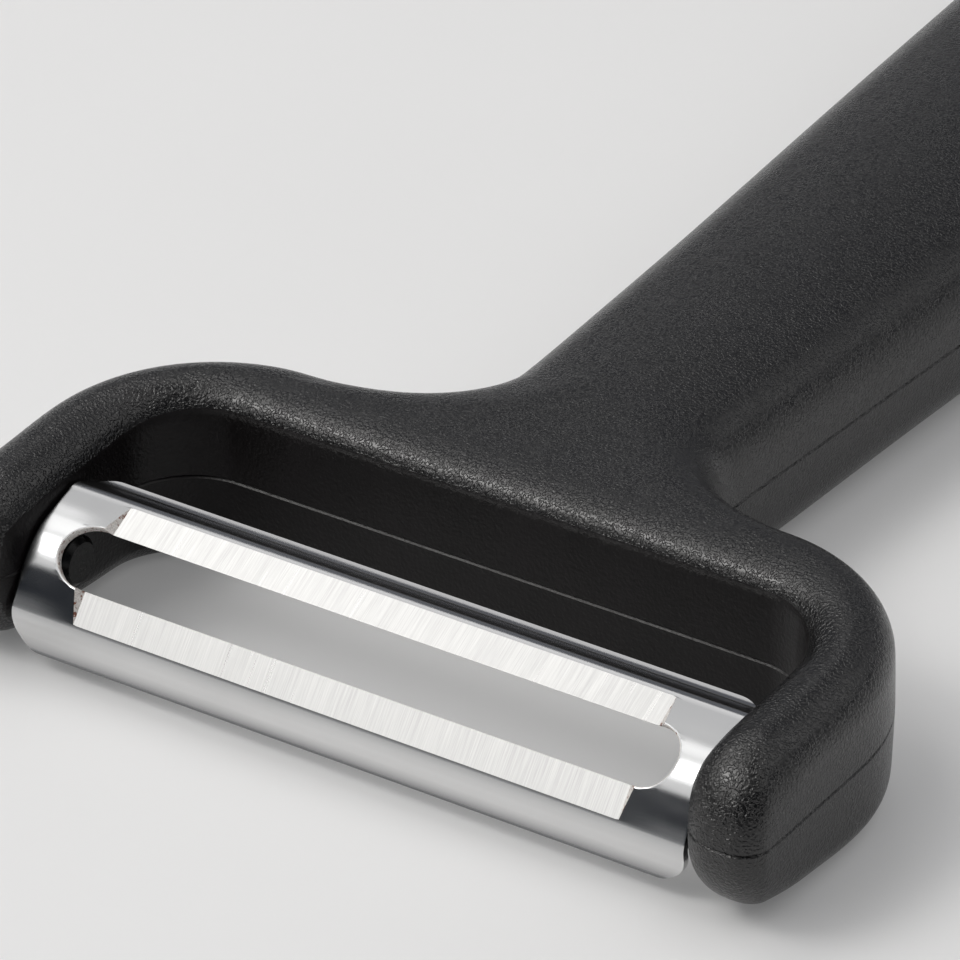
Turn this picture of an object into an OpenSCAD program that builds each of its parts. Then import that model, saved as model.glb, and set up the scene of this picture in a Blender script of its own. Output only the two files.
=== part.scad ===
// Y-shaped vegetable peeler: two moulded handle shells that close round two
// pivot pins, and one pressed steel blade that swivels on the pins.
// Lengths are in millimetres. X runs along the blade, Y runs from the blade
// to the end of the handle, and Z points up. The peeler lies on its flat
// underside, and the origin is on that underside, below the middle of its box.

/* [Head] */
// Overall width across the two arms
head_w = 72; // [69:0.2:76]
// Clear gap between the inner faces of the arms
arm_gap = 58.2; // [58:0.1:59.4]
// Distance from the pivot axis to the front of the arm tips
pivot_to_tip = 7; // [6.8:0.1:9]
// Distance from the pivot axis to the inner wall of the crossbar
pivot_to_bar = 15.7; // [14:0.1:20]
// Depth of the crossbar from its inner wall to its back
bar_depth = 8.3; // [7:0.1:11]
// Radius of the outer shoulders, seen from above
shoulder_r = 16; // [13:0.2:18]
// Radius of the inner corners between arm and crossbar
inner_corner_r = 6.3; // [4:0.1:8]
// Radius of the outer corners of the arm tips, seen from above
tip_corner_r = 2.3; // [1.5:0.1:3]
// Radius of the inner corners of the arm tips, seen from above
tip_inner_r = 3.5; // [2.5:0.1:4]
// Radius of the round front of the arm tips, seen from the side
tip_round_r = 6.7; // [5.8:0.1:7]
// Height of the crest of the crossbar above the seam
head_top_h = 7.4; // [6.9:0.1:9]
// Height of the crest of the arms above the seam, at their tips
arm_top_h = 6.5; // [6.3:0.1:8]
// Depth of the arms below the seam, at their tips
arm_base_h = 6.8; // [6.3:0.1:7.3]

/* [Handle] */
// Distance from the pivot axis to the end of the handle
pivot_to_end = 158; // [130:1:190]
// Width of the neck, where the handle leaves the crossbar
neck_w = 19.9; // [16:0.1:24]
// Distance from the pivot axis to the narrowest place of the neck
pivot_to_neck = 33; // [30:0.5:40]
// Greatest width, near the end of the handle
handle_w = 32.6; // [26:0.2:38]
// Height of the crest of the handle above the seam
handle_top_h = 8.1; // [7.4:0.1:10]
// Height of the seam above the underside
base_h = 7.4; // [7.4:0.1:9]
// Diameter of the hanging hole
hang_hole_d = 9; // [6:0.5:12]
// Distance from the middle of the hanging hole to the end of the handle
hang_hole_to_end = 13; // [11:0.5:18]

/* [Edges] */
// Radius of the upper edge along the inner wall of the crossbar
fork_edge_r = 2.1; // [1:0.1:2.6]
// Radius of the upper edge of the arms and round the outside of the head
head_edge_r = 3.2; // [2:0.1:3.3]
// Radius of the upper edge of the handle
handle_edge_r = 5.6; // [3:0.1:6.5]
// Radius of the lower edge along the inner wall of the crossbar
fork_base_edge_r = 1.6; // [1:0.1:2.6]
// Radius of the lower edge of the arms and round the outside of the head
head_base_edge_r = 2.7; // [1.5:0.1:3.4]
// Radius of the lower edge of the handle
handle_base_edge_r = 4.8; // [3:0.1:6]
// Bevel on each shell's rim, half of the groove that shows at the seam
seam_bevel = 0.15; // [0.1:0.01:0.3]
// Slope of the moulded walls, in degrees
draft_angle = 1.2; // [0:0.1:2]
// Slope where the crown of the head meets its edge radius, in degrees
head_crown_angle = 7; // [2:0.5:12]
// Slope where the crown of the handle meets its edge radius, in degrees
handle_crown_angle = 13; // [4:0.5:18]

/* [Blade] */
// Length of the blade from ear to ear, outside
blade_len = 57.9; // [50:0.1:58]
// Overall width of the blade across its two lips
blade_w = 14.32; // [13.6:0.02:14.6]
// Thickness of the steel strip
sheet_t = 0.6; // [0.4:0.05:0.7]
// Length of the two ground bevels
bevel_len = 47; // [40:0.5:48]
// Width of each ground bevel, from its cutting edge outwards
bevel_w = 2.58; // [2:0.02:3]
// Slope of each bevel against the plane through both cutting edges, in degrees
bevel_angle = 12; // [10:0.5:14]
// Gap between the two cutting edges
edge_gap = 4.7; // [4:0.1:5]
// Height of the cutting edges above the pivot axis
edge_h = 1.68; // [1.5:0.02:2]
// Length over which each bevel runs out at its ends
run_out = 0.6; // [0.3:0.1:1]
// Extra radius of the round ends of the slot, past the cutting edges
slot_relief = 0.05; // [0:0.05:0.2]
// Distance from the middle of the blade to the centre of each slot end
slot_end_x = 24; // [20:0.1:24.4]
// Slope of the strip beside the slot, in degrees
roof_angle = 25; // [20:0.5:30]
// Slope of the steep wall of the strip, in degrees
wall_angle = 62; // [55:1:66]
// Slope of the lips, in degrees
lip_angle = 25; // [15:1:35]
// Radius of the two bends of each wing, on the outside face
bend_r = 1.8; // [1.4:0.1:2.4]
// Radius of the corners of the lips
lip_corner_r = 2.2; // [1:0.1:2.6]
// Tilt of the blade as it lies at rest, front edge down, in degrees
rest_tilt = 39.4; // [25:0.2:80]

/* [Pivots] */
// Diameter of the pivot pins
pin_d = 4; // [3:0.1:4.1]
// Running clearance between a pin and its hole in the ear, on the radius
pin_clear = 0.05; // [0.03:0.01:0.1]
// Clearance between a pin and its seat in the arm, on the radius
seat_clear = 0.02; // [0.01:0.01:0.05]
// Distance from the middle of the blade to the inner end of each pin
pin_end_x = 25.9; // [20:0.1:26]
// Length of each pin
pin_len = 7.7; // [7:0.1:9]
// Bevel on the inner end of each pin
pin_bevel = 0.4; // [0.2:0.05:0.6]
// Diameter of the collar that the shells trap
collar_d = 6; // [5:0.1:6.4]
// Thickness of the collar
collar_t = 1.2; // [0.8:0.1:1.6]
// Distance from the inner face of the arm to the collar
collar_inset = 1.4; // [1:0.1:1.8]
// Width of each ear
ear_w = 9.1; // [8:0.1:9.4]
// How far each ear reaches below the pivot axis, beside its tongue
ear_drop = 0.8; // [0.4:0.1:1]
// Radius of the tongue of each ear, round its pivot hole
ear_tongue_r = 3.3; // [2.8:0.1:3.5]
// Swing of the blade to either side of straight ahead, in degrees
swing_angle = 65; // [55:1:68]
// Distance from the pivot axis to the stop block on each arm
stop_r = 3.7; // [3.4:0.1:3.8]
// Length of the stop blocks, away from the pivot
stop_len = 1.5; // [1:0.1:1.8]

/* [Inside] */
// Wall that the pockets leave round the outside
pocket_wall = 2.6; // [2:0.1:3.2]
// Depth of the pockets from the seam
pocket_depth = 4.6; // [3:0.1:5]
// Rib that is left between two pockets
rib_t = 2.4; // [1.5:0.1:4]
// Diameter of the locating pegs
peg_d = 2.5; // [2:0.1:3]
// Height of the locating pegs above the seam
peg_h = 2.6; // [1.5:0.1:3]
// Clearance of a peg in its socket, on the radius
peg_clear = 0.06; // [0.03:0.01:0.1]
// Depth that each socket has below its peg
peg_end_gap = 0.4; // [0.2:0.1:0.8]
// Diameter of the posts that carry pegs and sockets in the handle
post_d = 6.4; // [5:0.1:8]

/* [Hidden] */
$fn = 96;

// Overrun of cuts past the faces that they open
cut = 1;

// Plan of the head, from the sizes above
head_half = head_w / 2;
gap_half = arm_gap / 2;
arm_mid_x = (head_half + gap_half) / 2;
tip_y = -pivot_to_tip;
bar_back_y = pivot_to_bar + bar_depth;
bar_mid_y = pivot_to_bar + bar_depth / 2;
inner_corner = [gap_half - inner_corner_r, pivot_to_bar - inner_corner_r];
shoulder = [head_half - shoulder_r, bar_back_y - shoulder_r];

// Plan of the handle
neck_half = neck_w / 2;
handle_half = handle_w / 2;
handle_len = pivot_to_end - pivot_to_neck;
// The flare ends and the round end begins at this share of the handle's length
flare_end_share = 0.72;
flare_end_y = pivot_to_neck + flare_end_share * handle_len;
// Width where the flare ends, as a share of the greatest width
flare_width_share = 0.965;
flare_half = flare_width_share * handle_half;
// The crest of the handle runs level from the first share to the second one
crest_from_share = 0.4;
crest_to_share = 0.7;
crest_end_y = pivot_to_end - handle_half;
// Height of the crest at the end of the handle
end_height_share = 0.93;
end_top_h = end_height_share * head_top_h;
// Where the roof of the head ends and the crest of the handle begins
crest_start_share = 0.25;
crest_start_y = pivot_to_neck + crest_start_share * neck_half;

// Middle of the part's box along Y
mid_y = (pivot_to_end - pivot_to_tip) / 2;

function lerp(a, b, t) = a + (b - a) * t;
function smooth(t) = let (s = min(1, max(0, t))) s * s * (3 - 2 * s);
function unit(v) = v / norm(v);
function bezier(p, t) = let (s = 1 - t)
    s * s * s * p[0] + 3 * s * s * t * p[1] + 3 * s * t * t * p[2] + t * t * t * p[3];
function on_circle(centre, r, a) = centre + r * [cos(a), sin(a)];

// Counts of stations along each stretch of the outline
wall_steps = 1;
corner_steps = 10;
arm_steps = 3;
tip_steps = 6;
crotch_steps = 12;
side_steps = 7;
end_steps = 14;

// Each station holds a point of the outline, the point of the crest that its
// rib climbs to, how far its edges are those of the fork and of the handle, as
// shares, and the share by which its rib rounds over straight to the crest.
neck_edge_share = 0.5;
// Shares that place the two handles of each of these curves
crotch_shares = [0.45, 0.5];
crotch_line = [[shoulder[0], bar_back_y],
               [lerp(neck_half, shoulder[0], crotch_shares[0]), bar_back_y],
               [neck_half, lerp(bar_back_y, pivot_to_neck, crotch_shares[1])],
               [neck_half, pivot_to_neck]];
roof_shares = [0.35, 0.3];
roof_line = [[inner_corner[0], bar_mid_y], [neck_half, bar_mid_y],
             [roof_shares[0] * neck_half, lerp(bar_mid_y, crest_start_y, roof_shares[1])],
             [0, crest_start_y]];
end_shares = [1.25, 0.45, 0.8];
end_line = [[flare_half, flare_end_y],
            [lerp(flare_half, handle_half, end_shares[0]), lerp(flare_end_y, pivot_to_end, end_shares[1])],
            [end_shares[2] * handle_half, pivot_to_end], [0, pivot_to_end]];
// Shares of a stretch over which its edges or its crest change
neck_blend_share = 0.35;
end_blend_share = 0.65;

bar_stations = [for (i = [0:wall_steps]) let (x = inner_corner[0] * i / wall_steps)
    [[x, pivot_to_bar], [x, bar_mid_y], 1, 0, 0]];
corner_stations = [for (i = [1:corner_steps]) let (t = i / corner_steps, a = 90 - 90 * t,
    p = on_circle(inner_corner, inner_corner_r, a), q = on_circle(shoulder, shoulder_r, a))
    [p, (p + q) / 2, 1 - smooth(t), 0, 0]];
// Round the tip, every rib climbs to the same end of the crest
tip_end = [arm_mid_x, tip_y + tip_round_r];
arm_top_y = corner_stations[corner_steps - 1][1][1];
inner_arm_stations = [for (i = [1:arm_steps]) let (t = i / arm_steps)
    [[gap_half, lerp(inner_corner[1], tip_end[1], t)], [arm_mid_x, lerp(arm_top_y, tip_end[1], t)], 0, 0, 0]];
tip_inner_corner = [gap_half + tip_inner_r, tip_y + tip_inner_r];
tip_outer_corner = [head_half - tip_corner_r, tip_y + tip_corner_r];
tip_stations = concat(
    [for (i = [0:tip_steps]) [on_circle(tip_inner_corner, tip_inner_r, 180 + 90 * i / tip_steps),
        tip_end, 0, 0, 1]],
    [for (i = [0:tip_steps]) [on_circle(tip_outer_corner, tip_corner_r, 270 + 90 * i / tip_steps),
        tip_end, 0, 0, 1]]);
outer_arm_stations = [for (i = [arm_steps:-1:1]) let (t = i / arm_steps)
    [[head_half, lerp(shoulder[1], tip_end[1], t)], inner_arm_stations[i - 1][1], 0, 0, 0]];
shoulder_stations = [for (i = [corner_steps:-1:0]) let (a = 90 - 90 * i / corner_steps)
    [on_circle(shoulder, shoulder_r, a),
     i > 0 ? corner_stations[i - 1][1] : bar_stations[wall_steps][1], 0, 0, 0]];
crotch_stations = [for (i = [1:crotch_steps]) let (t = i / crotch_steps)
    [bezier(crotch_line, t), bezier(roof_line, t), 0, neck_edge_share * smooth(t), 0]];
side_stations = [for (i = [1:side_steps]) let (t = i / side_steps)
    [[lerp(neck_half, flare_half, t), lerp(pivot_to_neck, flare_end_y, t)],
     [0, lerp(crest_start_y, flare_end_y, t)], 0, lerp(neck_edge_share, 1, smooth(t / neck_blend_share)), 0]];
end_stations = [for (i = [1:end_steps]) let (t = i / end_steps)
    [bezier(end_line, t), [0, lerp(flare_end_y, crest_end_y, smooth(t / end_blend_share))], 0, 1, 0]];
half_stations = concat(bar_stations, corner_stations, inner_arm_stations, tip_stations,
    outer_arm_stations, shoulder_stations, crotch_stations, side_stations, end_stations);

function flip(p) = [-p[0], p[1]];
last = len(half_stations) - 1;
stations = concat(half_stations, [for (i = [last - 1:-1:1]) let (s = half_stations[i])
    [flip(s[0]), flip(s[1]), s[2], s[3], s[4]]]);
count = len(stations);

// Direction in which each rib leaves the outline
lean = [for (i = [0:count - 1]) let (s = stations[i],
    along = unit(stations[(i + 1) % count][0] - stations[(i + count - 1) % count][0]),
    inward = [-along[1], along[0]])
    unit(lerp(inward, unit(s[1] - s[0]), s[4]))];

// Height of the crest over a place of the plan
function arm_h(p, tip_h, h, to_y) = lerp(tip_h, h, smooth((p[1] - tip_end[1]) / (to_y - tip_end[1])));
function crest_h(p) = let (t = (p[1] - crest_start_y) / (pivot_to_end - crest_start_y))
    p[1] < bar_mid_y ? arm_h(p, arm_top_h, head_top_h, bar_mid_y)
    : p[0] != 0 || t <= 0 ? head_top_h
    : t < crest_to_share ? lerp(head_top_h, handle_top_h, smooth(t / crest_from_share))
    : lerp(handle_top_h, end_top_h, smooth((t - crest_to_share) / (1 - crest_to_share)));

// Round the tips, the edge radius is this share of the way to the crest
round_share = 0.93;
// Steps along each rib, round its edge radius and over its crown
edge_steps = 7;
crown_steps = 2;

// One rib, from the seam to the last point before the crest. The edges are
// [fork radius, head radius, handle radius, head crown angle, handle crown angle].
function rib(i, h, edges) = let (
    s = stations[i],
    edge_r = lerp(lerp(edges[1], edges[2], s[3]), edges[0], s[2]),
    r = lerp(edge_r, round_share * norm(s[1] - s[0]), s[4]),
    slope = lerp(edges[3], edges[4], s[3]),
    draft = (h - r) * tan(draft_angle),
    q = s[0] + lean[i] * (draft + r * (1 - sin(slope))),
    q_h = h - tan(slope) * norm(s[1] - q) / 2,
    wall_h = q_h - r * cos(slope))
    concat(
        [[s[0] + lean[i] * 2 * seam_bevel, -seam_bevel], [s[0], seam_bevel]],
        [[s[0] + lean[i] * draft, wall_h]],
        [for (k = [1:edge_steps]) let (a = (90 - slope) * k / edge_steps)
            [s[0] + lean[i] * (draft + r * (1 - cos(a))), wall_h + r * sin(a)]],
        [for (k = [1:crown_steps]) let (f = k / (crown_steps + 1))
            [lerp(q, s[1], f), h - (h - q_h) * (1 - f) * (1 - f)]]);

rib_len = 3 + edge_steps + crown_steps;
crest_id = [for (i = [0:count - 1])
    [for (j = [0:count - 1]) if (stations[j][1] == stations[i][1]) j][0]];
// The crest points round the level roof between the arms and the neck
roof_last = last - side_steps - end_steps;
roof_first = roof_last - crotch_steps + 1;
roof_ids = concat([wall_steps], [for (i = [roof_first:roof_last]) i],
    [for (i = [roof_last - 1:-1:roof_first]) count - i], [count - wall_steps]);

// One shell, seam down, with its crest at the given heights. It is drawn a
// little past the seam and its crest, and trimmed flat at both.
module shell_form(crests, edges, trim_h) {
    ribs = [for (i = [0:count - 1]) for (p = rib(i, crests[i], edges)) [p[0][0], p[0][1], p[1]]];
    crest = [for (i = [0:count - 1]) [stations[i][1][0], stations[i][1][1], crests[i]]];
    floor = [for (p = crest) [p[0], p[1], -seam_bevel]];
    top = count * rib_len;
    base = top + count;
    bands = [for (i = [0:count - 1]) let (a = i * rib_len, b = (i + 1) % count * rib_len)
        for (l = [0:rib_len - 2]) for (f = [[a + l, a + l + 1, b + l + 1], [a + l, b + l + 1, b + l]]) f];
    closed = [for (i = [0:count - 1]) let (j = (i + 1) % count, a = i * rib_len, b = j * rib_len,
        e = rib_len - 1, c = crest_id[i], d = crest_id[j])
        for (f = concat([[a + e, top + c, b + e], [b, base + c, a]],
            c == d ? [] : [[top + c, top + d, b + e], [b, base + d, base + c]])) f];
    hub = crest_id[0];
    roof = [for (k = [0:len(roof_ids) - 2]) let (c = crest_id[roof_ids[k]], d = crest_id[roof_ids[k + 1]])
        for (f = [[top + hub, top + d, top + c], [base + hub, base + c, base + d]]) f];
    difference() {
        polyhedron(concat(ribs, crest, floor), concat(bands, closed, roof));
        translate([-head_w, tip_y - cut, -cut]) cube([2 * head_w, pivot_to_end - tip_y + 2 * cut, cut]);
        translate([-head_w, tip_y - cut, trim_h]) cube([2 * head_w, pivot_to_end - tip_y + 2 * cut, cut]);
    }
}

// Cylinder along X from one place to another, round the pivot axis
module along_x(from, to, r) {
    translate([from, 0, 0]) rotate([0, 90, 0]) cylinder(h = to - from, r = r);
}

module both_sides() {
    children();
    mirror([1, 0, 0]) children();
}

// Places in the arms, from the middle of the blade outwards
blade_half = blade_len / 2;
collar_x = gap_half + collar_inset;
pin_tail_x = pin_end_x + pin_len;
pin_r = pin_d / 2;

// Room for a pin and its collar
module arm_cuts() {
    along_x(gap_half - cut, pin_tail_x + seat_clear, pin_r + seat_clear);
    along_x(collar_x - seat_clear, collar_x + collar_t + seat_clear, collar_d / 2 + seat_clear);
}

// Half of the block behind the pivot that stops the swing of the blade, where
// the lower edge of the ear meets it
ear_corner_angle = asin(ear_drop / stop_r);
stop_angle = 90 - swing_angle - ear_corner_angle;
stop_from = stop_r * [cos(stop_angle), sin(stop_angle)];
stop_to = (stop_r + stop_len) * [cos(stop_angle), sin(stop_angle)];
stop_x = blade_half - sheet_t;
module stop_half() {
    translate([stop_x, 0, 0]) rotate([90, 0, 90]) linear_extrude(gap_half - stop_x + pocket_wall / 2)
        polygon([[stop_from[0], 0], [stop_to[0], 0], stop_to, stop_from]);
}

// How far a peg is sunk into its shell, and how far the underside is cut flat
peg_root = pocket_wall;
base_trim_share = 0.35;
base_trim = base_trim_share * seam_bevel;
base_angle = 1;

// Pockets that keep the walls of the shells even
handle_pocket_from = pivot_to_neck + pocket_wall;
hang_hole_y = pivot_to_end - hang_hole_to_end;
handle_pocket_to = hang_hole_y - hang_hole_d / 2 - 2 * pocket_wall;
pocket_corner_share = 0.35;
pocket_corner = pocket_corner_share * neck_half;
pocket_from_half = neck_half - pocket_wall;
pocket_to_half = flare_half - pocket_wall;
post_y_shares = [0.22, 0.8];
post_ys = [for (f = post_y_shares) lerp(handle_pocket_from, handle_pocket_to, f)];
// Pegs in the shoulders stand at this angle round the inner corner
shoulder_peg = (on_circle(inner_corner, inner_corner_r, 45) + on_circle(shoulder, shoulder_r, 45)) / 2;
pegs = concat([for (y = post_ys) [0, y]], [shoulder_peg, flip(shoulder_peg)]);

// The shape of a list of points and its mirror image, joined
module mirrored_outline(half) {
    polygon(concat(half, [for (i = [len(half) - 1:-1:0]) flip(half[i])]));
}

module pockets() {
    difference() {
        translate([0, 0, -cut]) linear_extrude(pocket_depth + cut) mirrored_outline(
            [[pocket_from_half - pocket_corner, handle_pocket_from],
             [pocket_from_half, handle_pocket_from + pocket_corner],
             [pocket_to_half, handle_pocket_to - pocket_corner],
             [pocket_to_half - pocket_corner, handle_pocket_to]]);
        for (y = post_ys) translate([0, y, -2 * cut]) cylinder(h = pocket_depth + 3 * cut, d = post_d);
    }
    both_sides() translate([rib_t / 2, pivot_to_bar + pocket_wall, -cut])
        cube([inner_corner[0] - rib_t / 2, bar_depth - 2 * pocket_wall, pocket_depth + cut]);
}

// What both shells share, with the seam on the ground
module half_shell(crests, edges, trim_h) {
    difference() {
        shell_form(crests, edges, trim_h);
        both_sides() arm_cuts();
        pockets();
        translate([0, hang_hole_y, -cut]) cylinder(h = handle_top_h + base_h, d = hang_hole_d);
    }
    both_sides() stop_half();
}

// Moves a piece from the frame of the pivot axis to the frame of the part
module place() {
    translate([0, -mid_y, base_h]) children();
}

module upper_shell() {
    color("#2b2b2d") place() difference() {
        half_shell([for (s = stations) crest_h(s[1])],
            [fork_edge_r, head_edge_r, handle_edge_r, head_crown_angle, handle_crown_angle],
            handle_top_h + cut);
        for (p = pegs) translate([p[0], p[1], -cut])
            cylinder(h = cut + peg_h + peg_end_gap, d = peg_d + 2 * peg_clear);
    }
}

module lower_shell() {
    color("#262628") place() union() {
        mirror([0, 0, 1]) half_shell([for (s = stations) arm_h(s[1], arm_base_h, base_h + base_trim, shoulder[1])],
            [fork_base_edge_r, head_base_edge_r, handle_base_edge_r, base_angle, base_angle], base_h);
        for (p = pegs) translate([p[0], p[1], -peg_root]) cylinder(h = peg_root + peg_h, d = peg_d);
    }
}

// Section of the strip. Each wing is drawn outwards as bends and straight
// stretches, each place with the slope that the outside face has there.
function bend(p, from, to, r, n) = [for (i = [1:n]) let (a = lerp(from, to, i / n), k = to > from ? r : -r)
    [p[0] + k * (sin(a) - sin(from)), p[1] + k * (cos(a) - cos(from)), a]];
function straight(p, l) = [p[0] + l * cos(p[2]), p[1] - l * sin(p[2]), p[2]];
function end_of(list) = list[len(list) - 1];
cutting_edge = [edge_gap / 2, edge_h];
bevel_foot = cutting_edge + bevel_w * [cos(bevel_angle), -sin(bevel_angle)];
// The strip rises from the foot of the bevel to where the bend of its roof begins
roof_half = edge_gap / 2 + sheet_t * sin(roof_angle);
roof_rise = (bevel_foot[0] - roof_half) * tan(roof_angle);
roof_r = roof_half / sin(roof_angle);
roof_top = [0, bevel_foot[1] + roof_rise + roof_r * (1 - cos(roof_angle)), 0];
bend_steps = 6;
roof_bend = bend(roof_top, 0, roof_angle, roof_r, bend_steps);
foot = [bevel_foot[0], bevel_foot[1], roof_angle];
shoulder_bend = bend(foot, roof_angle, wall_angle, bend_r, bend_steps);
lip_bend_w = bend_r * (sin(wall_angle) - sin(lip_angle));
wall_w = blade_w / 2 - end_of(shoulder_bend)[0] - lip_bend_w;
lip_start = straight(end_of(shoulder_bend), wall_w / cos(wall_angle));
lip_bend = bend(lip_start, wall_angle, lip_angle, bend_r, bend_steps);
wing = concat([roof_top], roof_bend, [foot], shoulder_bend, [lip_start], lip_bend);
function under(p) = [p[0] - sheet_t * sin(p[2]), p[1] - sheet_t * cos(p[2])];
outside = [for (p = wing) [p[0], p[1]]];
inside = [for (p = wing) under(p)];
function flip_back(list) = [for (i = [len(list) - 1:-1:1]) flip(list[i])];
section = concat(flip_back(outside), outside, [for (i = [len(inside) - 1:-1:0]) inside[i]],
    [for (i = [1:len(inside) - 1]) flip(inside[i])]);

// Extrudes a shape that is drawn across the blade, along X
module across(from, to) {
    translate([from, 0, 0]) rotate([90, 0, 90]) linear_extrude(to - from) children();
}

slot_end_r = edge_gap / 2 + slot_relief;
strip_h = 2 * blade_w;
module strip() {
    difference() {
        across(-blade_half, blade_half) polygon(section);
        both_sides() for (y = [0, 1]) mirror([0, y, 0]) lip_corner();
    }
}

// What rounds off one corner of a lip, cut square to the chord of the wing
lip_edge = end_of(outside);
lip_fall = [lip_edge[0] - bevel_foot[0], bevel_foot[1] - lip_edge[1]];
wing_angle = atan2(lip_fall[1], lip_fall[0]);
module lip_corner() {
    translate([0, lip_edge[0], lip_edge[1]]) rotate([-wing_angle, 0, 0])
        translate([blade_half - lip_corner_r, -lip_corner_r, -2 * sheet_t]) linear_extrude(4 * sheet_t)
            difference() {
                square(lip_corner_r + cut);
                circle(r = lip_corner_r);
            }
}

module slot() {
    translate([0, 0, -strip_h / 2]) linear_extrude(strip_h) union() {
        square([2 * slot_end_x, edge_gap], center = true);
        for (x = [1, -1]) translate([x * slot_end_x, 0]) circle(r = slot_end_r);
    }
}

// What grinding takes off one wing: a flat with a run-out at each end
module bevel_cut() {
    over = 2 * sheet_t;
    spread = run_out * over / sheet_t;
    translate([0, cutting_edge[0], cutting_edge[1]]) rotate([-bevel_angle, 0, 0])
        translate([0, bevel_w + cut, 0]) rotate([90, 0, 0]) linear_extrude(bevel_w + 2 * cut)
            polygon([[-bevel_len / 2, 0], [bevel_len / 2, 0],
                     [bevel_len / 2 + spread, over], [-bevel_len / 2 - spread, over]]);
}

// The end of the strip folded down round its pivot hole
module ear() {
    across(blade_half - sheet_t, blade_half) difference() {
        union() {
            intersection() {
                polygon(concat(flip_back(outside), outside));
                translate([-ear_w / 2, -ear_drop]) square([ear_w, strip_h]);
            }
            intersection() {
                circle(r = ear_tongue_r);
                translate([-ear_tongue_r, -ear_tongue_r]) square([2 * ear_tongue_r, ear_tongue_r]);
            }
        }
        circle(r = pin_r + pin_clear);
    }
}

module blade() {
    color("#c9cccf") place() rotate([rest_tilt, 0, 0]) {
        difference() {
            strip();
            slot();
            for (y = [0, 1]) mirror([0, y, 0]) bevel_cut();
        }
        both_sides() ear();
    }
}

module pivot_pin() {
    along_x(pin_end_x + pin_bevel, pin_tail_x, pin_r);
    along_x(collar_x, collar_x + collar_t, collar_d / 2);
    translate([pin_end_x, 0, 0]) rotate([0, 90, 0])
        cylinder(h = pin_bevel, r1 = pin_r - pin_bevel, r2 = pin_r);
}

module pivot_pin_left() {
    color("#1d1d1f") place() mirror([1, 0, 0]) pivot_pin();
}

module pivot_pin_right() {
    color("#1d1d1f") place() pivot_pin();
}

upper_shell();
lower_shell();
blade();
pivot_pin_left();
pivot_pin_right();
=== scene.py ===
from math import cos, hypot, radians, sin

import bpy
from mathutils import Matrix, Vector


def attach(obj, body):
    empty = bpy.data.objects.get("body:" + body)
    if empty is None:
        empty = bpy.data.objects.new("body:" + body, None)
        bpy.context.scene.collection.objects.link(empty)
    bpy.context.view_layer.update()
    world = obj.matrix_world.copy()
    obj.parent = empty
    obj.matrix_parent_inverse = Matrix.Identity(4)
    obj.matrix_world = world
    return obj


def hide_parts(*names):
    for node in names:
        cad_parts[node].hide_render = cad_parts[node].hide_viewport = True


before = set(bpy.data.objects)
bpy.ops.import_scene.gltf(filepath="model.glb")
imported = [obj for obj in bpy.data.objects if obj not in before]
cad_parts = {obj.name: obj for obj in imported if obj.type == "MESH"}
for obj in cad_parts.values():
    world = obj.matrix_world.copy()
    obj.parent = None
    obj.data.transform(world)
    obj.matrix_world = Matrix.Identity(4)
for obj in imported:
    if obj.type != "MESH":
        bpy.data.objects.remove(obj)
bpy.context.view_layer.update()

MM = 0.001

# the peeler's own lines, in metres
PIVOT = Vector((0, -75.5 * MM, 7.4 * MM))
SEAM_Z = 7.4 * MM
BLADE_TILT = radians(39.4)
BLADE_ALONG = Vector((1, 0, 0))
BLADE_FRONT = Vector((0, -cos(BLADE_TILT), -sin(BLADE_TILT)))
BLADE_OUT = Vector((0, -sin(BLADE_TILT), cos(BLADE_TILT)))

# the fork: how far its inner walls reach, and how near the seam its painted shade runs
FORK_FRONT_Y = -82.4 * MM
FORK_BACK_Y = -55 * MM
FORK_HALF_X = 29.6 * MM
SEAM_BAND = 0.7 * MM

# the blade: its roof, its bevels, its slot and its ends, measured from the pivot axis
ROOF_SLOPE = radians(25)
BEVEL_SLOPE = radians(12)
BEVEL_BAND = (2.2 * MM, 5.1 * MM)
BEVEL_END_X = (23 * MM, 25 * MM)
BEVEL_END_U = (2.3 * MM, 5.2 * MM)
SLOT_GAP = 4.7 * MM
SLOT_SIDE_U = 2.45 * MM
SLOT_SIDE_X = 26.5 * MM
SLOT_END_X = 24 * MM
SLOT_END_R = SLOT_GAP / 2 + 0.05 * MM
STRIP_END_X = 28.95 * MM
CROWN_HALF = 4.9 * MM
PANEL_END_X = 24.2 * MM
PANEL_LOW_W = 1.55 * MM
BEVEL_LOW_W = 1.0 * MM
SLOT_RIM_LOW_W = 0.8 * MM
NEAR = 0.02 * MM

# how softly the press and the grinder left it
BROKEN_EDGE = 0.045 * MM
ROLLED_END = 0.15 * MM
PUNCH_ROLL = 0.2 * MM
ROOF_BOW = 0.08 * MM

# where edges are added to the blade, in millimetres along it and across it
ALONG_CUTS = (1.5, 4.5, 7.5, 10.5, 13.5, 16.5, 19.5, 22.5, 26.7, 27.8, 28.6)
ACROSS_CUTS = (1.2, 3.7)

# edges that turn more than this stay crisp: on the shells, and on the blade's bends and rolled ends
RIM_ANGLE = radians(32)
BEND_ANGLE = radians(11)
ROLL_ANGLE = radians(40)

# edges of the smoothed pieces that turn more than this are broken, or are shaded as edges
BROKEN_ANGLE = radians(40)
SHELL_SHADE_ANGLE = radians(35)
BLADE_SHADE_ANGLE = radians(50)

# how a face lies, as the cosine between its normal and a direction
WALL_LEAN = 0.34
WALL_INWARD = 0.6
SEAM_INWARD = 0.02
SQUARE_ON = 0.9995
EDGE_ON = 0.05
END_ON = 0.7
UPWARD = 0.8
TURNED_OVER = 0.88

# the places of the finishes that follow a piece's main one
# the second finish of the shells is the nylon with painted shade inside the fork
PAINTED_SHADE = 1
GROUND, SHEARED = 1, 2

# the range that nearly all of a noise pattern's values lie in
NOISE_LOW, NOISE_HIGH = 0.3, 0.7

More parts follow.
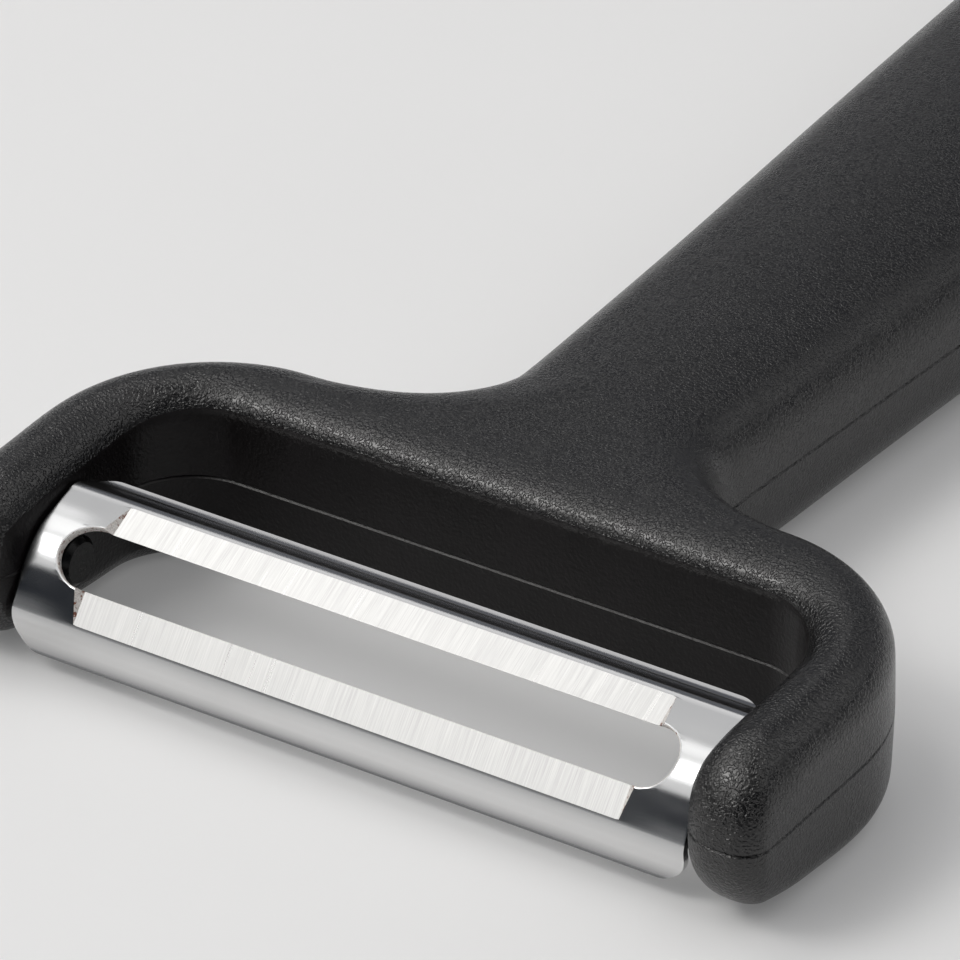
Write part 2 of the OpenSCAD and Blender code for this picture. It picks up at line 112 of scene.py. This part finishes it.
# the studio: each lamp's name, place, width, height and watts, then the floor and the camera
LAMP_AIM = Vector((0, -0.05, 0))
LAMP_COLOUR = (1.0, 0.985, 0.965)
LAMPS = (
    ("left_softbox", (-0.394, -0.38, 0.613), 1.1, 0.75, 4.35),
    ("left_lamp", (-0.40, -0.44, 0.62), 0.30, 0.26, 1.75),
    ("right_softbox", (0.40, 0.16, 0.62), 0.9, 0.8, 2.0),
    ("back_left_softbox", (-0.37, 0.14, 0.64), 0.66, 0.46, 1.15),
)
FLOOR_SIZE = 4
FLOOR_GLOW = 0.11
CAMERA_PLACE = (238.9 * MM, -426.3 * MM, 274.5 * MM)
CAMERA_TURN = (radians(59.3352), 0, radians(33.2363))
CAMERA_LENS = 262.5
CAMERA_SENSOR = 36


# small helpers
def srgb(code):
    """The linear colour of a hex code such as #1d1d1f."""
    parts = [int(code[i:i + 2], 16) / 255 for i in (1, 3, 5)]
    linear = [c / 12.92 if c <= 0.04045 else ((c + 0.055) / 1.055) ** 2.4 for c in parts]
    return (*linear, 1)


def per_metre(size_mm):
    """How often a pattern of this size in millimetres repeats in a metre."""
    return 1 / (size_mm * MM)


def fill(tree, node, inputs):
    """Gives each named input of a node a value, a socket or the first output of another node."""
    for name, value in inputs.items():
        if isinstance(value, bpy.types.Node):
            value = value.outputs[0]
        if isinstance(value, bpy.types.NodeSocket):
            tree.links.new(value, node.inputs[name])
        else:
            node.inputs[name].default_value = value


def put(tree, kind, inputs=None, stops=None, **settings):
    """Adds one node with its settings, its inputs and, on a colour ramp, its two (place, colour) stops."""
    made = tree.nodes.new("ShaderNode" + kind)
    for name, value in settings.items():
        setattr(made, name, value)
    if stops:
        for point, (place, code) in zip(made.color_ramp.elements, stops):
            point.position = place
            point.color = srgb(code)
    fill(tree, made, inputs or {})
    return made


def new_material(name):
    """A material with its node tree, its shader and the Object coordinates that its patterns read."""
    made = bpy.data.materials.new(name)
    made.use_nodes = True
    tree = made.node_tree
    return made, tree, tree.nodes["Principled BSDF"], put(tree, "TexCoord").outputs["Object"]


# materials
def moulded_nylon():
    """Glass-filled nylon from a spark-eroded mould: a fine pebbled grain that is
    half matt, so that broad soft highlights break up into grains."""
    made, tree, shader, coords = new_material("black_nylon_spark_eroded")
    pebbles = put(tree, "TexNoise", {"Vector": coords, "Scale": per_metre(0.24), "Detail": 1.2})
    pits = put(tree, "MapRange", {"Value": pebbles, "From Min": 0.42, "From Max": 0.62})
    swell = put(tree, "TexNoise", {"Vector": coords, "Scale": per_metre(2.4), "Detail": 2})
    cloud = put(tree, "TexNoise", {
        "Vector": coords, "Scale": per_metre(9), "Detail": 3, "Roughness": 0.55})
    tone = put(tree, "ValToRGB", {"Fac": cloud}, ((NOISE_LOW, "#0c0b0b"), (NOISE_HIGH, "#100f10")))
    sheen = put(tree, "MapRange", {
        "Value": swell, "From Min": NOISE_LOW, "From Max": NOISE_HIGH, "To Min": 0.25, "To Max": 0.29})
    grain = put(tree, "Bump", {"Strength": 1.0, "Distance": 0.047 * MM, "Height": pits})
    relief = put(tree, "Bump", {
        "Strength": 0.2, "Distance": 0.04 * MM, "Height": swell, "Normal": grain})
    fill(tree, shader, {
        "Base Color": tone, "Roughness": sheen, "IOR": 1.55, "Specular IOR Level": 0.52, "Normal": relief})
    return made


def shaded_fork_nylon():
    """The same nylon inside the fork, with painted shade: it shines half as much, so that the walls of
    this recess look darker. Its grain is a little coarser."""
    made, tree, shader, coords = new_material("black_nylon_painted_shade")
    drawn = put(tree, "Mapping", {"Vector": coords, "Scale": (1, 1, 1 / 3)})
    cloud = put(tree, "TexNoise", {
        "Vector": drawn, "Scale": per_metre(5), "Detail": 3, "Roughness": 0.55})
    tone = put(tree, "ValToRGB", {"Fac": cloud}, ((NOISE_LOW, "#0e0c0c"), (NOISE_HIGH, "#141112")))
    sheen = put(tree, "MapRange", {
        "Value": cloud, "From Min": NOISE_LOW, "From Max": NOISE_HIGH, "To Min": 0.30, "To Max": 0.36})
    pebbles = put(tree, "TexNoise", {"Vector": coords, "Scale": per_metre(0.3), "Detail": 2})
    grain = put(tree, "Bump", {"Strength": 1.0, "Distance": 0.05 * MM, "Height": pebbles})
    fill(tree, shader, {
        "Base Color": tone, "Roughness": sheen, "IOR": 1.5, "Specular IOR Level": 0.26, "Normal": grain})
    return made


def moulded_acetal():
    """Acetal from a polished mould: the pins are smooth and without grain."""
    made, tree, shader, coords = new_material("black_acetal_moulded")
    cloud = put(tree, "TexNoise", {"Vector": coords, "Scale": per_metre(1.5), "Detail": 2})
    tone = put(tree, "ValToRGB", {"Fac": cloud}, ((NOISE_LOW, "#080808"), (NOISE_HIGH, "#0b0b0b")))
    wear = put(tree, "TexNoise", {"Vector": coords, "Scale": per_metre(0.6), "Detail": 3})
    sheen = put(tree, "MapRange", {
        "Value": wear, "From Min": NOISE_LOW, "From Max": NOISE_HIGH, "To Min": 0.22, "To Max": 0.34})
    fill(tree, shader, {
        "Base Color": tone, "Roughness": sheen, "IOR": 1.48, "Specular IOR Level": 0.2})
    return made


def rolled_steel():
    """Cold-rolled stainless strip: a soft mirror with faint lines along the roll. Its roof and its lips
    are painted darker than its wings, as painted shade that dims the lamps' reflections there.
    The lines are drawn coarser than real ones, so that they show."""
    made, tree, shader, coords = new_material("stainless_strip_rolled")
    rolled = put(tree, "Mapping", {"Vector": coords, "Scale": (1 / 120, 1, 1)})
    lines = put(tree, "TexNoise", {
        "Vector": rolled, "Scale": per_metre(0.12), "Detail": 3, "Roughness": 0.6})
    drawn = put(tree, "Mapping", {"Vector": coords, "Scale": (1 / 2, 1, 1)})
    smear = put(tree, "TexNoise", {
        "Vector": drawn, "Scale": per_metre(7), "Detail": 3, "Roughness": 0.55})
    from_axis = put(tree, "VectorMath", {0: coords, 1: tuple(PIVOT)}, operation="SUBTRACT")
    across = put(tree, "VectorMath", {0: from_axis, 1: tuple(BLADE_FRONT)}, operation="DOT_PRODUCT")
    off_ridge = put(tree, "Math", {0: across.outputs["Value"]}, operation="ABSOLUTE")
    # painted shade: the roof and the lips get a darker steel than the wings, to dim the lamps' reflections
    # there
    wing = put(tree, "MapRange", {"Value": off_ridge, "From Min": 4.7 * MM, "From Max": 5.9 * MM})
    lip = put(tree, "MapRange", {"Value": off_ridge, "From Min": 6.3 * MM, "From Max": 6.9 * MM})
    roof_painted_shade = put(tree, "ValToRGB", {"Fac": smear}, ((NOISE_LOW, "#9c9d9e"), (NOISE_HIGH, "#a4a5a6")))
    wing_tone = put(tree, "ValToRGB", {"Fac": smear}, ((NOISE_LOW, "#dadada"), (NOISE_HIGH, "#e3e3e3")))
    sides = put(tree, "MixRGB", {"Fac": wing, "Color1": roof_painted_shade, "Color2": wing_tone})
    tone = put(tree, "MixRGB", {"Fac": lip, "Color1": sides, "Color2": srgb("#a0a0a1")})
    sheen = put(tree, "MapRange", {
        "Value": smear, "From Min": NOISE_LOW, "From Max": NOISE_HIGH, "To Min": 0.15, "To Max": 0.22})
    relief = put(tree, "Bump", {"Strength": 0.25, "Distance": 0.004 * MM, "Height": lines})
    fill(tree, shader, {"Base Color": tone, "Metallic": 1.0, "Roughness": sheen, "Normal": relief})
    return made


def ground_steel():
    """The bevels, ground square across their edges: bright, with fine cross lines. They too are
    drawn coarser than real ones, so that they show."""
    made, tree, shader, coords = new_material("stainless_bevel_ground")
    ground = put(tree, "Mapping", {"Vector": coords, "Scale": (1, 1 / 60, 1 / 60)})
    lines = put(tree, "TexNoise", {
        "Vector": ground, "Scale": per_metre(0.09), "Detail": 3, "Roughness": 0.7})
    passes = put(tree, "Mapping", {"Vector": coords, "Scale": (1, 1 / 30, 1 / 30)})
    bands = put(tree, "TexNoise", {"Vector": passes, "Scale": per_metre(0.7), "Detail": 2})
    tone = put(tree, "ValToRGB", {"Fac": lines}, ((NOISE_LOW, "#9c9c9c"), (NOISE_HIGH, "#b2b2b1")))
    sheen = put(tree, "MapRange", {
        "Value": bands, "From Min": NOISE_LOW, "From Max": NOISE_HIGH, "To Min": 0.27, "To Max": 0.33})
    relief = put(tree, "Bump", {"Strength": 0.6, "Distance": 0.006 * MM, "Height": lines})
    fill(tree, shader, {"Base Color": tone, "Metallic": 1.0, "Roughness": sheen, "Normal": relief})
    return made


def sheared_steel():
    """The sides of the sheet where it was punched: torn and grey, with a few brown specks of residue."""
    made, tree, shader, coords = new_material("stainless_edge_sheared")
    torn = put(tree, "TexNoise", {
        "Vector": coords, "Scale": per_metre(0.12), "Detail": 3, "Roughness": 0.7})
    specks = put(tree, "TexNoise", {
        "Vector": coords, "Scale": per_metre(0.35), "Detail": 3, "Roughness": 0.7})
    grey = put(tree, "ValToRGB", {"Fac": torn}, ((NOISE_LOW, "#b9b4b0"), (NOISE_HIGH, "#f0ece8")))
    brown = put(tree, "MapRange", {"Value": specks, "From Min": 0.57, "From Max": 0.62})
    tone = put(tree, "MixRGB", {"Fac": brown, "Color1": grey, "Color2": srgb("#7a4632")})
    relief = put(tree, "Bump", {"Strength": 0.8, "Distance": 0.04 * MM, "Height": torn})
    fill(tree, shader, {"Base Color": tone, "Metallic": 0.25, "Roughness": 0.55, "Normal": relief})
    return made


def pale_board():
    """Matt painted board: a light grey that hardly varies and glows a little, so that shadows stay soft."""
    made, tree, shader, coords = new_material("matt_pale_board")
    cloud = put(tree, "TexNoise", {"Vector": coords, "Scale": per_metre(60), "Detail": 2})
    tone = put(tree, "ValToRGB", {"Fac": cloud}, ((NOISE_LOW, "#d6d6d6"), (NOISE_HIGH, "#d8d8d8")))
    fill(tree, shader, {
        "Base Color": tone, "Roughness": 0.6,
        "Emission Color": srgb("#ffffff"), "Emission Strength": FLOOR_GLOW})
    return made


# modelling helpers
def deselect():
    """Leaves nothing selected, the CAD nodes included."""
    bpy.ops.object.select_all(action="DESELECT")


def copy_of(node, name):
    """A copy of a CAD node's mesh, with its loose triangles merged into one skin, selected and active."""
    made = bpy.data.objects.new(name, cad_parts[node].data.copy())
    bpy.context.scene.collection.objects.link(made)
    made.data.name = name
    made.data.materials.clear()
    deselect()
    made.select_set(True)
    bpy.context.view_layer.objects.active = made
    bpy.ops.object.mode_set(mode="EDIT")
    bpy.ops.mesh.select_all(action="SELECT")
    bpy.ops.mesh.remove_doubles(threshold=0.002 * MM)
    bpy.ops.object.mode_set(mode="OBJECT")
    bpy.context.view_layer.update()
    if made.data.has_custom_normals:
        bpy.ops.mesh.customdata_custom_splitnormals_clear()
    return made


def finish_with(obj, kind, **settings):
    """Adds a modifier to the active piece, with its settings, and applies it."""
    made = obj.modifiers.new("finish", kind)
    for name, value in settings.items():
        setattr(made, name, value)
    bpy.ops.object.modifier_apply(modifier=made.name)


def pick(obj, kind, wanted):
    """Selects the edges or vertices that a test wants, and nothing else, and leaves edit mode open."""
    bpy.ops.object.mode_set(mode="EDIT")
    bpy.ops.mesh.select_mode(type=kind)
    bpy.ops.mesh.select_all(action="DESELECT")
    bpy.ops.object.mode_set(mode="OBJECT")
    for part in (obj.data.vertices if kind == "VERT" else obj.data.edges):
        part.select = wanted(part)
    bpy.ops.object.mode_set(mode="EDIT")


def normals_beside(mesh):
    """The normals of the faces on either side of each edge."""
    beside = {}
    for face in mesh.polygons:
        for key in face.edge_keys:
            beside.setdefault(key, []).append(face.normal.copy())
    return beside


# the two halves of the handle
def smooth_shell(node, name):
    """Rounds the facets of a moulded shell, but keeps its rims and holes crisp."""
    made = copy_of(node, name)
    bpy.ops.object.mode_set(mode="EDIT")
    bpy.ops.mesh.select_mode(type="EDGE")
    bpy.ops.mesh.select_all(action="SELECT")
    bpy.ops.mesh.tris_convert_to_quads(face_threshold=radians(30), shape_threshold=radians(60))
    bpy.ops.mesh.select_all(action="DESELECT")
    bpy.ops.mesh.edges_select_sharp(sharpness=RIM_ANGLE)
    bpy.ops.transform.edge_crease(value=1)
    bpy.ops.mesh.mark_sharp()
    bpy.ops.object.mode_set(mode="OBJECT")
    finish_with(made, "SUBSURF", levels=2, render_levels=2)
    bpy.ops.object.shade_smooth_by_angle(angle=SHELL_SHADE_ANGLE)
    return made


def paint_fork_shade(obj):
    """The walls inside the fork, and the rims of the seam there, get the nylon with painted shade, which
    shines half as much and so darkens this recess.
    """
    for face in obj.data.polygons:
        x, y, z = face.center
        normal = face.normal
        inward = max(-normal.y, -normal.x if x > 0 else normal.x)
        in_fork = FORK_FRONT_Y < y < FORK_BACK_Y and abs(x) < FORK_HALF_X
        on_wall = abs(normal.z) < WALL_LEAN and inward > WALL_INWARD
        at_seam = abs(z - SEAM_Z) < SEAM_BAND and inward > SEAM_INWARD
        if in_fork and (on_wall or at_seam):
            face.material_index = PAINTED_SHADE


# the blade: x runs along it, u across it towards its front lip, and w out from the pivot axis
def on_blade(place):
    """Where a point lies on the blade, as x, u and w."""
    from_axis = place - PIVOT
    return from_axis.x, from_axis.dot(BLADE_FRONT), from_axis.dot(BLADE_OUT)


def ends_on_blade(mesh, edge):
    """Where the two ends of an edge lie on the blade."""
    return [on_blade(mesh.vertices[v].co) for v in edge.vertices]


def off_slot_end(x, u):
    """How far a point lies from the centre of the slot's nearer round end."""
    return hypot(abs(x) - SLOT_END_X, u)


def over_strip_end(ends, inset, lowest):
    """Whether an edge lies on an end of the strip, over its crown: within an inset, and above a height."""
    return all(abs(x) > STRIP_END_X - inset and abs(u) < CROWN_HALF and w > lowest for x, u, w in ends)


def roll_strip_ends(obj):
    """Rounds the crown where it turns down into the ears."""
    def on_end(edge):
        return over_strip_end(ends_on_blade(obj.data, edge), inset=0.01 * MM, lowest=1.1 * MM)

    pick(obj, "EDGE", on_end)
    bpy.ops.mesh.bevel(offset=ROLLED_END, segments=4, affect="EDGES")
    bpy.ops.object.mode_set(mode="OBJECT")


def roll_slot_ends(obj):
    """Rounds the upper rim of the slot's ends, where the punch drew the sheet down."""
    beside = normals_beside(obj.data)

    def on_upper_rim(edge):
        on_rim = all(abs(x) > SLOT_END_X - NEAR and abs(off_slot_end(x, u) - SLOT_END_R) < 2 * NEAR
                     for x, u, w in ends_on_blade(obj.data, edge))
        return on_rim and any(normal.dot(BLADE_OUT) > UPWARD for normal in beside[edge.key])

    pick(obj, "EDGE", on_upper_rim)
    bpy.ops.mesh.bevel(offset=PUNCH_ROLL, segments=3, affect="EDGES", clamp_overlap=False)


def slice_across(places, direction):
    """Cuts new edges right round the blade where planes square to a direction meet it, on both sides."""
    for side in (1, -1):
        for place in places:
            bpy.ops.mesh.select_all(action="SELECT")
            bpy.ops.mesh.bisect(plane_co=PIVOT + side * place * MM * direction, plane_no=direction)


def bow_roof(obj, side):
    """Lifts the middle of a roof panel a little, past the ends of the bevels: the pressed sheet
    isn't quite flat there."""
    def on_middle(vertex):
        x, u, w = on_blade(vertex.co)
        on_line = abs(side * u - ACROSS_CUTS[-1] * MM) < NEAR
        return on_line and abs(x) > PANEL_END_X and w > PANEL_LOW_W

    pick(obj, "VERT", on_middle)
    lift = cos(ROOF_SLOPE) * BLADE_OUT + side * sin(ROOF_SLOPE) * BLADE_FRONT
    bpy.ops.transform.translate(value=ROOF_BOW * lift)


def keep_crisp(obj):
    """Marks the edges of the sheet, so that only the bends between them are smoothed."""
    crease = obj.data.attributes.new("crease_edge", "FLOAT", "EDGE")
    sharp = obj.data.attributes.new("sharp_edge", "BOOLEAN", "EDGE")
    beside = normals_beside(obj.data)
    for edge in obj.data.edges:
        normals = beside[edge.key]
        in_roll = over_strip_end(ends_on_blade(obj.data, edge), inset=0.2 * MM, lowest=0.9 * MM)
        limit = ROLL_ANGLE if in_roll else BEND_ANGLE
        if len(normals) != 2 or normals[0].angle(normals[1]) > limit:
            crease.data[edge.index].value = 1.0
            sharp.data[edge.index].value = True


def steel_blade():
    """The pressed strip: its ends rolled down into the ears, its bends soft and its edges just broken."""
    made = copy_of("blade", "steel_blade")
    bpy.ops.object.mode_set(mode="EDIT")
    bpy.ops.mesh.select_mode(type="FACE")
    bpy.ops.mesh.select_all(action="SELECT")
    bpy.ops.mesh.dissolve_limited(angle_limit=radians(0.3))
    roll_strip_ends(made)
    roll_slot_ends(made)
    slice_across(ALONG_CUTS, BLADE_ALONG)
    slice_across(ACROSS_CUTS, BLADE_FRONT)
    for side in (1, -1):
        bow_roof(made, side)
    bpy.ops.object.mode_set(mode="OBJECT")
    keep_crisp(made)
    finish_with(made, "SUBSURF", levels=2, render_levels=2)
    finish_with(made, "BEVEL", width=BROKEN_EDGE, segments=2, limit_method="ANGLE",
                angle_limit=BROKEN_ANGLE)
    bpy.ops.object.shade_smooth_by_angle(angle=BLADE_SHADE_ANGLE)
    finish_with(made, "WEIGHTED_NORMAL", keep_sharp=True)
    return made


def finish_faces(obj):
    """The planes of the bevels get the ground finish. The sides of the sheet, the end walls of the
    bevels and the drawn-down rim of the slot's ends get the sheared one."""
    for face in obj.data.polygons:
        x, u, w = on_blade(face.center)
        normal = face.normal
        out = normal.dot(BLADE_OUT)
        side = 1 if u > 0 else -1
        ground = side * sin(BEVEL_SLOPE) * BLADE_FRONT + cos(BEVEL_SLOPE) * BLADE_OUT
        on_bevel = (normal.dot(ground) > SQUARE_ON and w > BEVEL_LOW_W
                    and BEVEL_BAND[0] < abs(u) < BEVEL_BAND[1])
        slot_side = abs(out) < EDGE_ON and abs(u) < SLOT_SIDE_U and abs(x) < SLOT_SIDE_X
        bevel_end = (abs(normal.x) > END_ON and w > BEVEL_LOW_W
                     and BEVEL_END_X[0] < abs(x) < BEVEL_END_X[1]
                     and BEVEL_END_U[0] < abs(u) < BEVEL_END_U[1])
        slot_end = (abs(x) > SLOT_END_X and w > SLOT_RIM_LOW_W and out < TURNED_OVER
                    and SLOT_END_R - NEAR < off_slot_end(x, u) < SLOT_END_R + PUNCH_ROLL)
        if on_bevel:
            face.material_index = GROUND
        elif slot_side or bevel_end or slot_end:
            face.material_index = SHEARED


# the object
nylon, painted_shade_nylon, acetal = moulded_nylon(), shaded_fork_nylon(), moulded_acetal()

for node_name, piece_name in (
        ("upper_shell", "handle_top_moulding"),
        ("lower_shell", "handle_base_moulding")):
    shell = smooth_shell(node_name, piece_name)
    shell.data.materials.append(nylon)
    # the second finish: the nylon with painted shade, for the walls inside the fork
    shell.data.materials.append(painted_shade_nylon)
    paint_fork_shade(shell)
    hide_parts(node_name)
    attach(shell, "handle")

blade = steel_blade()
for finish in (rolled_steel(), ground_steel(), sheared_steel()):
    blade.data.materials.append(finish)
finish_faces(blade)
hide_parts("blade")
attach(blade, "blade")

for node_name in ("pivot_pin_left", "pivot_pin_right"):
    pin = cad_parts[node_name]
    pin.data.materials.clear()
    pin.data.materials.append(acetal)

# floor
deselect()
bpy.ops.mesh.primitive_plane_add(size=FLOOR_SIZE, location=(0, 0, 0))
floor = bpy.context.active_object
floor.name = "floor"
floor.data.materials.append(pale_board())


# light
def softbox(name, place, width, height, power):
    """A lamp behind a cloth, aimed at the head of the peeler."""
    data = bpy.data.lights.new(name, "AREA")
    data.shape = "RECTANGLE"
    data.size = width
    data.size_y = height
    data.energy = power
    data.color = LAMP_COLOUR
    made = bpy.data.objects.new(name, data)
    made.location = place
    made.rotation_euler = (LAMP_AIM - Vector(place)).to_track_quat("-Z", "Y").to_euler()
    bpy.context.scene.collection.objects.link(made)


for lamp in LAMPS:
    softbox(*lamp)

# a studio that is dark behind the camera, grey behind the peeler and pale near the floor
world = bpy.data.worlds.new("studio")
bpy.context.scene.world = world
world.use_nodes = True
sky = world.node_tree
toward = put(sky, "SeparateXYZ", {"Vector": put(sky, "TexCoord").outputs["Generated"]})
back = put(sky, "MapRange", {
    "Value": toward.outputs["Y"], "From Min": 0.1, "From Max": 0.55}, interpolation_type="SMOOTHSTEP")
low = put(sky, "MapRange", {
    "Value": toward.outputs["Z"], "From Min": 0.2, "From Max": 0.0}, interpolation_type="SMOOTHSTEP")
walls = put(sky, "ValToRGB", {"Fac": back}, ((0.0, "#1f2630"), (1.0, "#6c6e74")))
studio = put(sky, "MixRGB", {"Fac": low, "Color1": walls, "Color2": srgb("#cccccc")})
fill(sky, sky.nodes["Background"], {"Color": studio, "Strength": 1.0})

# camera
camera_data = bpy.data.cameras.new("camera")
camera_data.sensor_width = CAMERA_SENSOR
camera_data.lens = CAMERA_LENS
camera = bpy.data.objects.new("camera", camera_data)
camera.location = CAMERA_PLACE
camera.rotation_euler = CAMERA_TURN
bpy.context.scene.collection.objects.link(camera)
bpy.context.scene.camera = camera
bpy.context.scene.view_settings.view_transform = "Standard"
